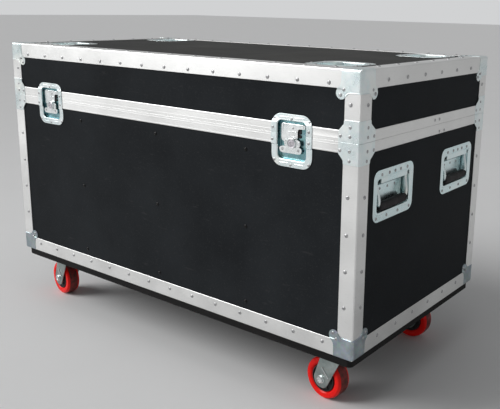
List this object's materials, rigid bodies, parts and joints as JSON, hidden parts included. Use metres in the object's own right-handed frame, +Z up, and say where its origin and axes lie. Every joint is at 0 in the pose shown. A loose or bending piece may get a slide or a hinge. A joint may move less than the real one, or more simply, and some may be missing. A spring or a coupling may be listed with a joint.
{
  "type": "flight case",
  "caption": "Wheeled road trunk of black panels in aluminium edging, with a rear-hinged lid, recessed twist latches, fold-out side handles and stacking dishes.",
  "frame": {"origin": "on the floor, under the middle of the overall width and depth", "axes": "+X to the right and +Y to the back for someone who faces the latches, +Z up"},
  "size_m": [1.1538, 0.6022, 0.7592],
  "materials": {
    "aluminium": "satin anodised",
    "zinc": "bright zinc-plated sheet steel",
    "steel": "plated steel",
    "black_laminate": "black laminate on plywood",
    "board_paint": "matt black paint on plywood",
    "grip_rubber": "matt moulded grip",
    "red_polyurethane": "glossy cast tyre"
  },
  "bodies": {
    "case_body": {"back_panel": "black_laminate", "base_panel": "black_laminate", "body_closing_frame": "aluminium", "body_edge_frame": "aluminium", "bottom_corner_back_left": "zinc", "bottom_corner_back_right": "zinc", "bottom_corner_front_left": "zinc", "bottom_corner_front_right": "zinc", "castor_board": "board_paint", "castor_plate_back_left": "zinc", "castor_plate_back_right": "zinc", "castor_plate_front_left": "zinc", "castor_plate_front_right": "zinc", "front_panel": "black_laminate", "handle_dish_left_back": "zinc", "handle_dish_left_front": "zinc", "handle_dish_right_back": "zinc", "handle_dish_right_front": "zinc", "hinge_body_leaf": "steel", "latch_dish_left": "zinc", "latch_dish_right": "zinc", "left_panel": "black_laminate", "right_panel": "black_laminate"},
    "lid": {"castor_cup_back_left": "zinc", "castor_cup_back_right": "zinc", "castor_cup_front_left": "zinc", "castor_cup_front_right": "zinc", "hinge_lid_leaf": "steel", "latch_keeper_dish_left": "zinc", "latch_keeper_dish_right": "zinc", "lid_back_panel": "black_laminate", "lid_frame": "aluminium", "lid_front_panel": "black_laminate", "lid_left_panel": "black_laminate", "lid_right_panel": "black_laminate", "lid_top_panel": "black_laminate", "top_corner_back_left": "zinc", "top_corner_back_right": "zinc", "top_corner_front_left": "zinc", "top_corner_front_right": "zinc"},
    "castor_back_left_fork": {"castor_fork_back_left": "zinc"},
    "castor_back_right_fork": {"castor_fork_back_right": "zinc"},
    "castor_front_left_fork": {"castor_fork_front_left": "zinc"},
    "castor_front_right_fork": {"castor_fork_front_right": "zinc"},
    "castor_back_left_wheel": {"castor_wheel_back_left": "red_polyurethane"},
    "castor_back_right_wheel": {"castor_wheel_back_right": "red_polyurethane"},
    "castor_front_left_wheel": {"castor_wheel_front_left": "red_polyurethane"},
    "castor_front_right_wheel": {"castor_wheel_front_right": "red_polyurethane"},
    "handle_left_back": {"handle_left_back": "grip_rubber"},
    "handle_left_front": {"handle_left_front": "grip_rubber"},
    "handle_right_back": {"handle_right_back": "grip_rubber"},
    "handle_right_front": {"handle_right_front": "grip_rubber"},
    "latch_hook_left": {"latch_hook_left": "steel"},
    "latch_hook_right": {"latch_hook_right": "steel"},
    "latch_key_left": {"latch_key_left": "steel"},
    "latch_key_right": {"latch_key_right": "steel"},
    "stay_left_lower_arm": {"stay_left_lower_arm": "steel"},
    "stay_left_upper_arm": {"stay_left_upper_arm": "steel"},
    "stay_right_lower_arm": {"stay_right_lower_arm": "steel"},
    "stay_right_upper_arm": {"stay_right_upper_arm": "steel"}
  },
  "joints": [
    {"name": "lid_hinge", "type": "hinge", "parent": "case_body", "child": "lid", "pos_m": [0, 0.29655, 0.6159], "axis": [-1, 0, 0], "range_deg": [0, 100]},
    {"name": "latch_key_left_turn", "type": "hinge", "parent": "case_body", "child": "latch_key_left", "pos_m": [-0.41, -0.29345, 0.5974], "axis": [0, -1, 0], "range_deg": [0, 180]},
    {"name": "latch_hook_left_slide", "type": "slide", "parent": "case_body", "child": "latch_hook_left", "axis": [0, 0, 1], "range_m": [0, 0.005]},
    {"name": "latch_key_right_turn", "type": "hinge", "parent": "case_body", "child": "latch_key_right", "pos_m": [0.41, -0.29345, 0.5974], "axis": [0, -1, 0], "range_deg": [0, 180]},
    {"name": "latch_hook_right_slide", "type": "slide", "parent": "case_body", "child": "latch_hook_right", "axis": [0, 0, 1], "range_m": [0, 0.005]},
    {"name": "handle_left_front_hinge", "type": "hinge", "parent": "case_body", "child": "handle_left_front", "pos_m": [-0.566, -0.15575, 0.5244], "axis": [0, 1, 0], "range_deg": [0, 90], "stiffness_Nm_per_rad": 0.35},
    {"name": "handle_left_back_hinge", "type": "hinge", "parent": "case_body", "child": "handle_left_back", "pos_m": [-0.566, 0.14825, 0.5244], "axis": [0, 1, 0], "range_deg": [0, 90], "stiffness_Nm_per_rad": 0.35},
    {"name": "handle_right_front_hinge", "type": "hinge", "parent": "case_body", "child": "handle_right_front", "pos_m": [0.566, -0.15575, 0.5244], "axis": [0, -1, 0], "range_deg": [0, 90], "stiffness_Nm_per_rad": 0.35},
    {"name": "handle_right_back_hinge", "type": "hinge", "parent": "case_body", "child": "handle_right_back", "pos_m": [0.566, 0.14825, 0.5244], "axis": [0, -1, 0], "range_deg": [0, 90], "stiffness_Nm_per_rad": 0.35},
    {"name": "castor_front_left_swivel", "type": "hinge", "parent": "case_body", "child": "castor_front_left_fork", "pos_m": [-0.49, -0.20875, 0.128], "axis": [0, 0, 1], "continuous": true},
    {"name": "castor_front_left_roll", "type": "hinge", "parent": "castor_front_left_fork", "child": "castor_front_left_wheel", "pos_m": [-0.52556, -0.20312, 0.05], "axis": [0.1564, 0.9877, 0], "continuous": true},
    {"name": "castor_front_right_swivel", "type": "hinge", "parent": "case_body", "child": "castor_front_right_fork", "pos_m": [0.49, -0.20875, 0.128], "axis": [0, 0, 1], "continuous": true},
    {"name": "castor_front_right_roll", "type": "hinge", "parent": "castor_front_right_fork", "child": "castor_front_right_wheel", "pos_m": [0.4542, -0.20499, 0.05], "axis": [0.1045, 0.9945, 0], "continuous": true},
    {"name": "castor_back_left_swivel", "type": "hinge", "parent": "case_body", "child": "castor_back_left_fork", "pos_m": [-0.49, 0.20125, 0.128], "axis": [0, 0, 1], "continuous": true},
    {"name": "castor_back_left_roll", "type": "hinge", "parent": "castor_back_left_fork", "child": "castor_back_left_wheel", "pos_m": [-0.52591, 0.20376, 0.05], "axis": [0.0698, 0.9976, 0], "continuous": true},
    {"name": "castor_back_right_swivel", "type": "hinge", "parent": "case_body", "child": "castor_back_right_fork", "pos_m": [0.49, 0.20125, 0.128], "axis": [0, 0, 1], "continuous": true},
    {"name": "castor_back_right_roll", "type": "hinge", "parent": "castor_back_right_fork", "child": "castor_back_right_wheel", "pos_m": [0.454, 0.20125, 0.05], "axis": [0, 1, 0], "continuous": true},
    {"name": "stay_left_lower_turn", "type": "hinge", "parent": "case_body", "child": "stay_left_lower_arm", "pos_m": [-0.5606, 0.05355, 0.6019], "axis": [-1, 0, 0], "range_deg": [0, 117.42]},
    {"name": "stay_left_elbow_turn", "type": "hinge", "parent": "stay_left_lower_arm", "child": "stay_left_upper_arm", "pos_m": [-0.5583, -0.15197, 0.6159], "axis": [1, 0, 0], "range_deg": [0, 134.85]},
    {"name": "stay_right_lower_turn", "type": "hinge", "parent": "case_body", "child": "stay_right_lower_arm", "pos_m": [0.5606, 0.05355, 0.6019], "axis": [-1, 0, 0], "range_deg": [0, 117.42]},
    {"name": "stay_right_elbow_turn", "type": "hinge", "parent": "stay_right_lower_arm", "child": "stay_right_upper_arm", "pos_m": [0.5583, -0.15197, 0.6159], "axis": [1, 0, 0], "range_deg": [0, 134.85]}
  ],
  "couplings": [
    {"joint": "latch_key_left_turn", "follows": "latch_hook_left_slide", "rad_per_m": 628.32},
    {"joint": "latch_key_right_turn", "follows": "latch_hook_right_slide", "rad_per_m": 628.32},
    {"joint": "stay_left_lower_turn", "follows": "lid_hinge", "ratio": 1.1742},
    {"joint": "stay_left_elbow_turn", "follows": "lid_hinge", "ratio": 1.3485},
    {"joint": "stay_right_lower_turn", "follows": "lid_hinge", "ratio": 1.1742},
    {"joint": "stay_right_elbow_turn", "follows": "lid_hinge", "ratio": 1.3485}
  ]
}
